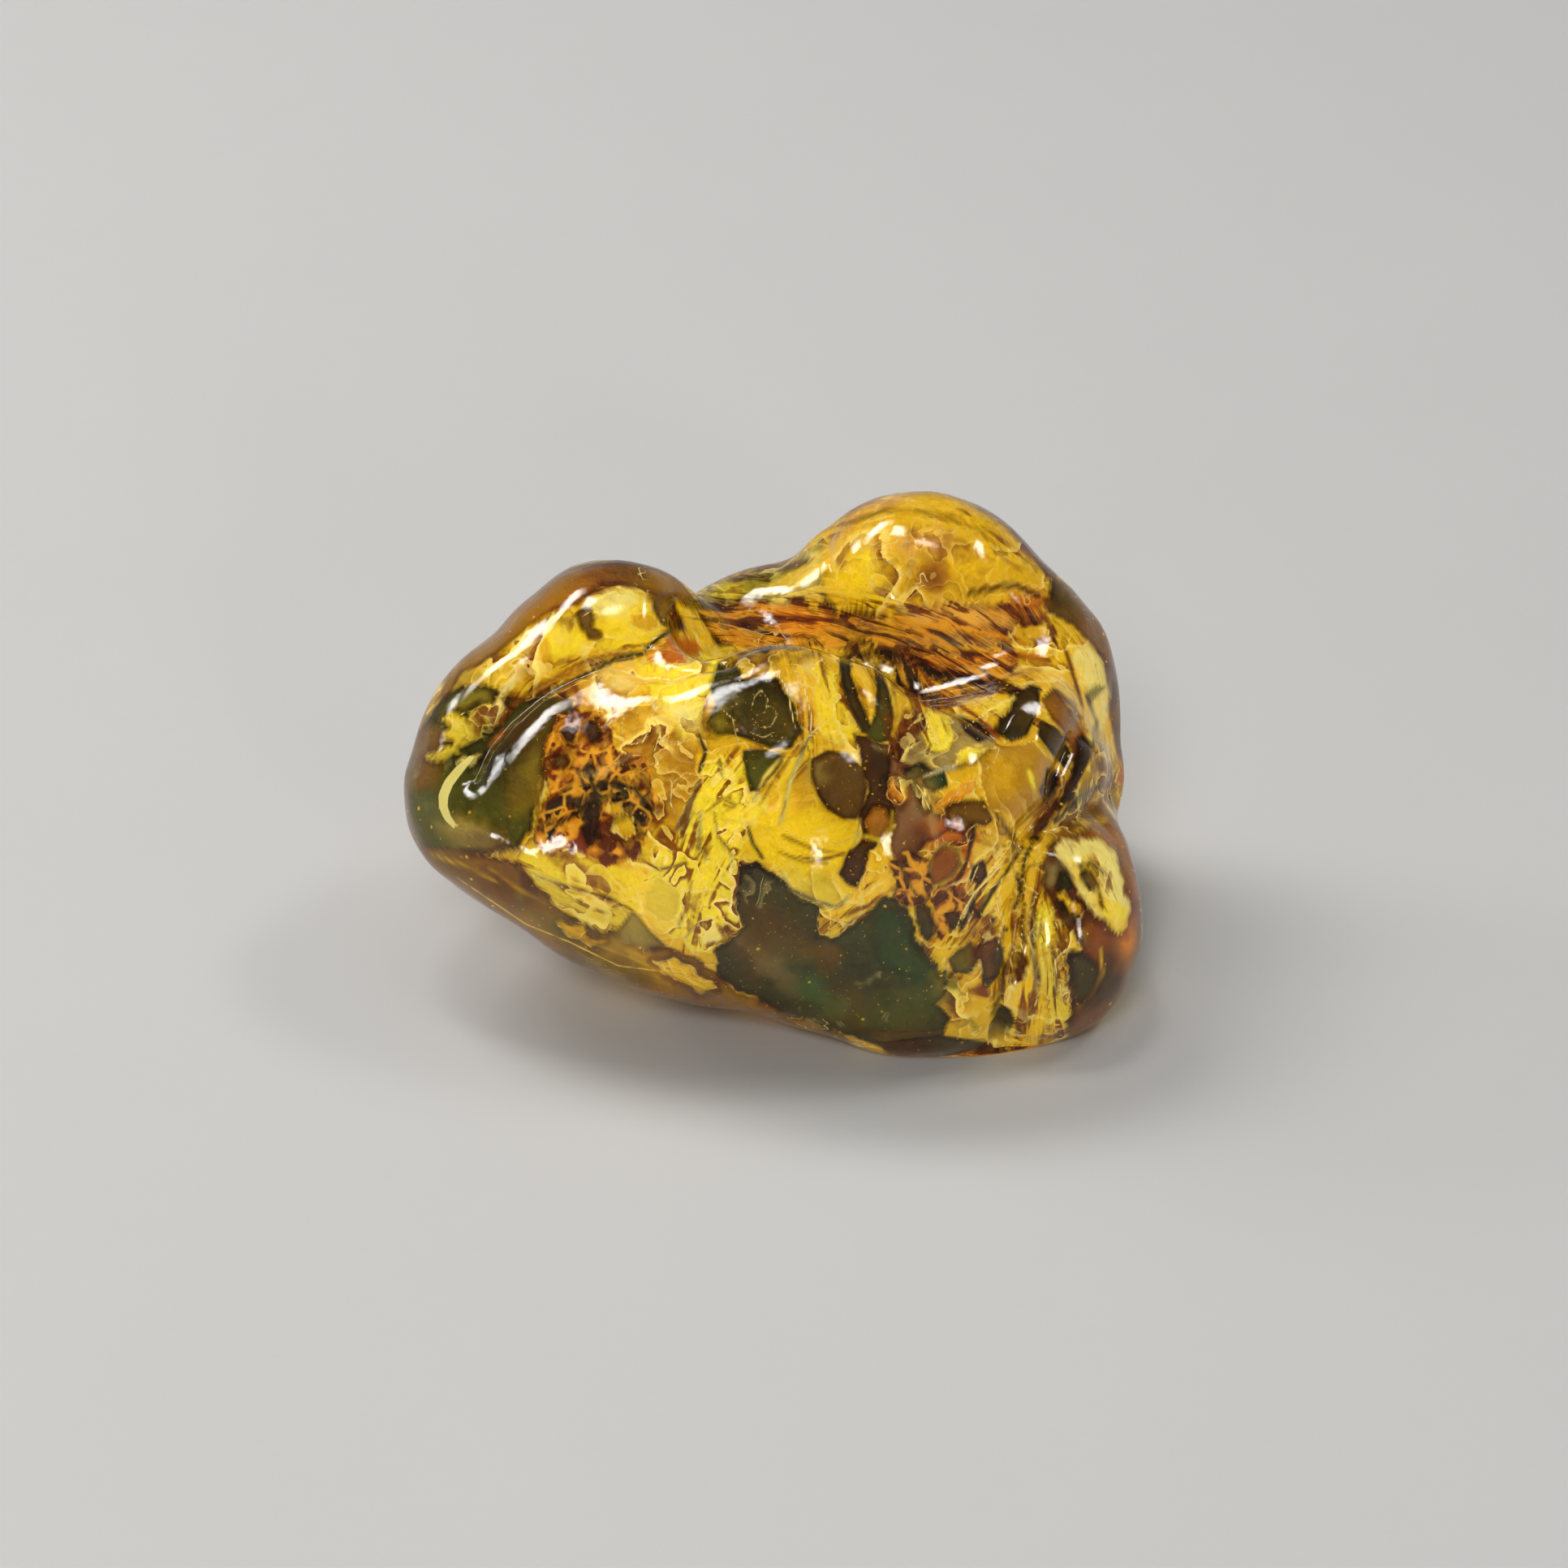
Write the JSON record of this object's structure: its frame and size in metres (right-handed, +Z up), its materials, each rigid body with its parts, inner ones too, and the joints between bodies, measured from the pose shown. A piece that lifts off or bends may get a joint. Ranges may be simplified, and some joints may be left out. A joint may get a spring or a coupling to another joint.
{
  "type": "raw amber piece",
  "caption": "Lumpy polished nugget of clear amber with a raised dome, a saddle valley and a side lobe, resting on a small flat underneath.",
  "frame": {"origin": "centre of the bounding box at the ground, under the nugget", "axes": "+X along the length of the nugget from the pointed end to the lobed end, +Z up, the broad front towards -Y"},
  "size_m": [0.0638, 0.044, 0.0358],
  "materials": {
    "amber": "polished"
  },
  "bodies": {
    "root": {"amber_nugget": "amber"}
  },
  "joints": []
}
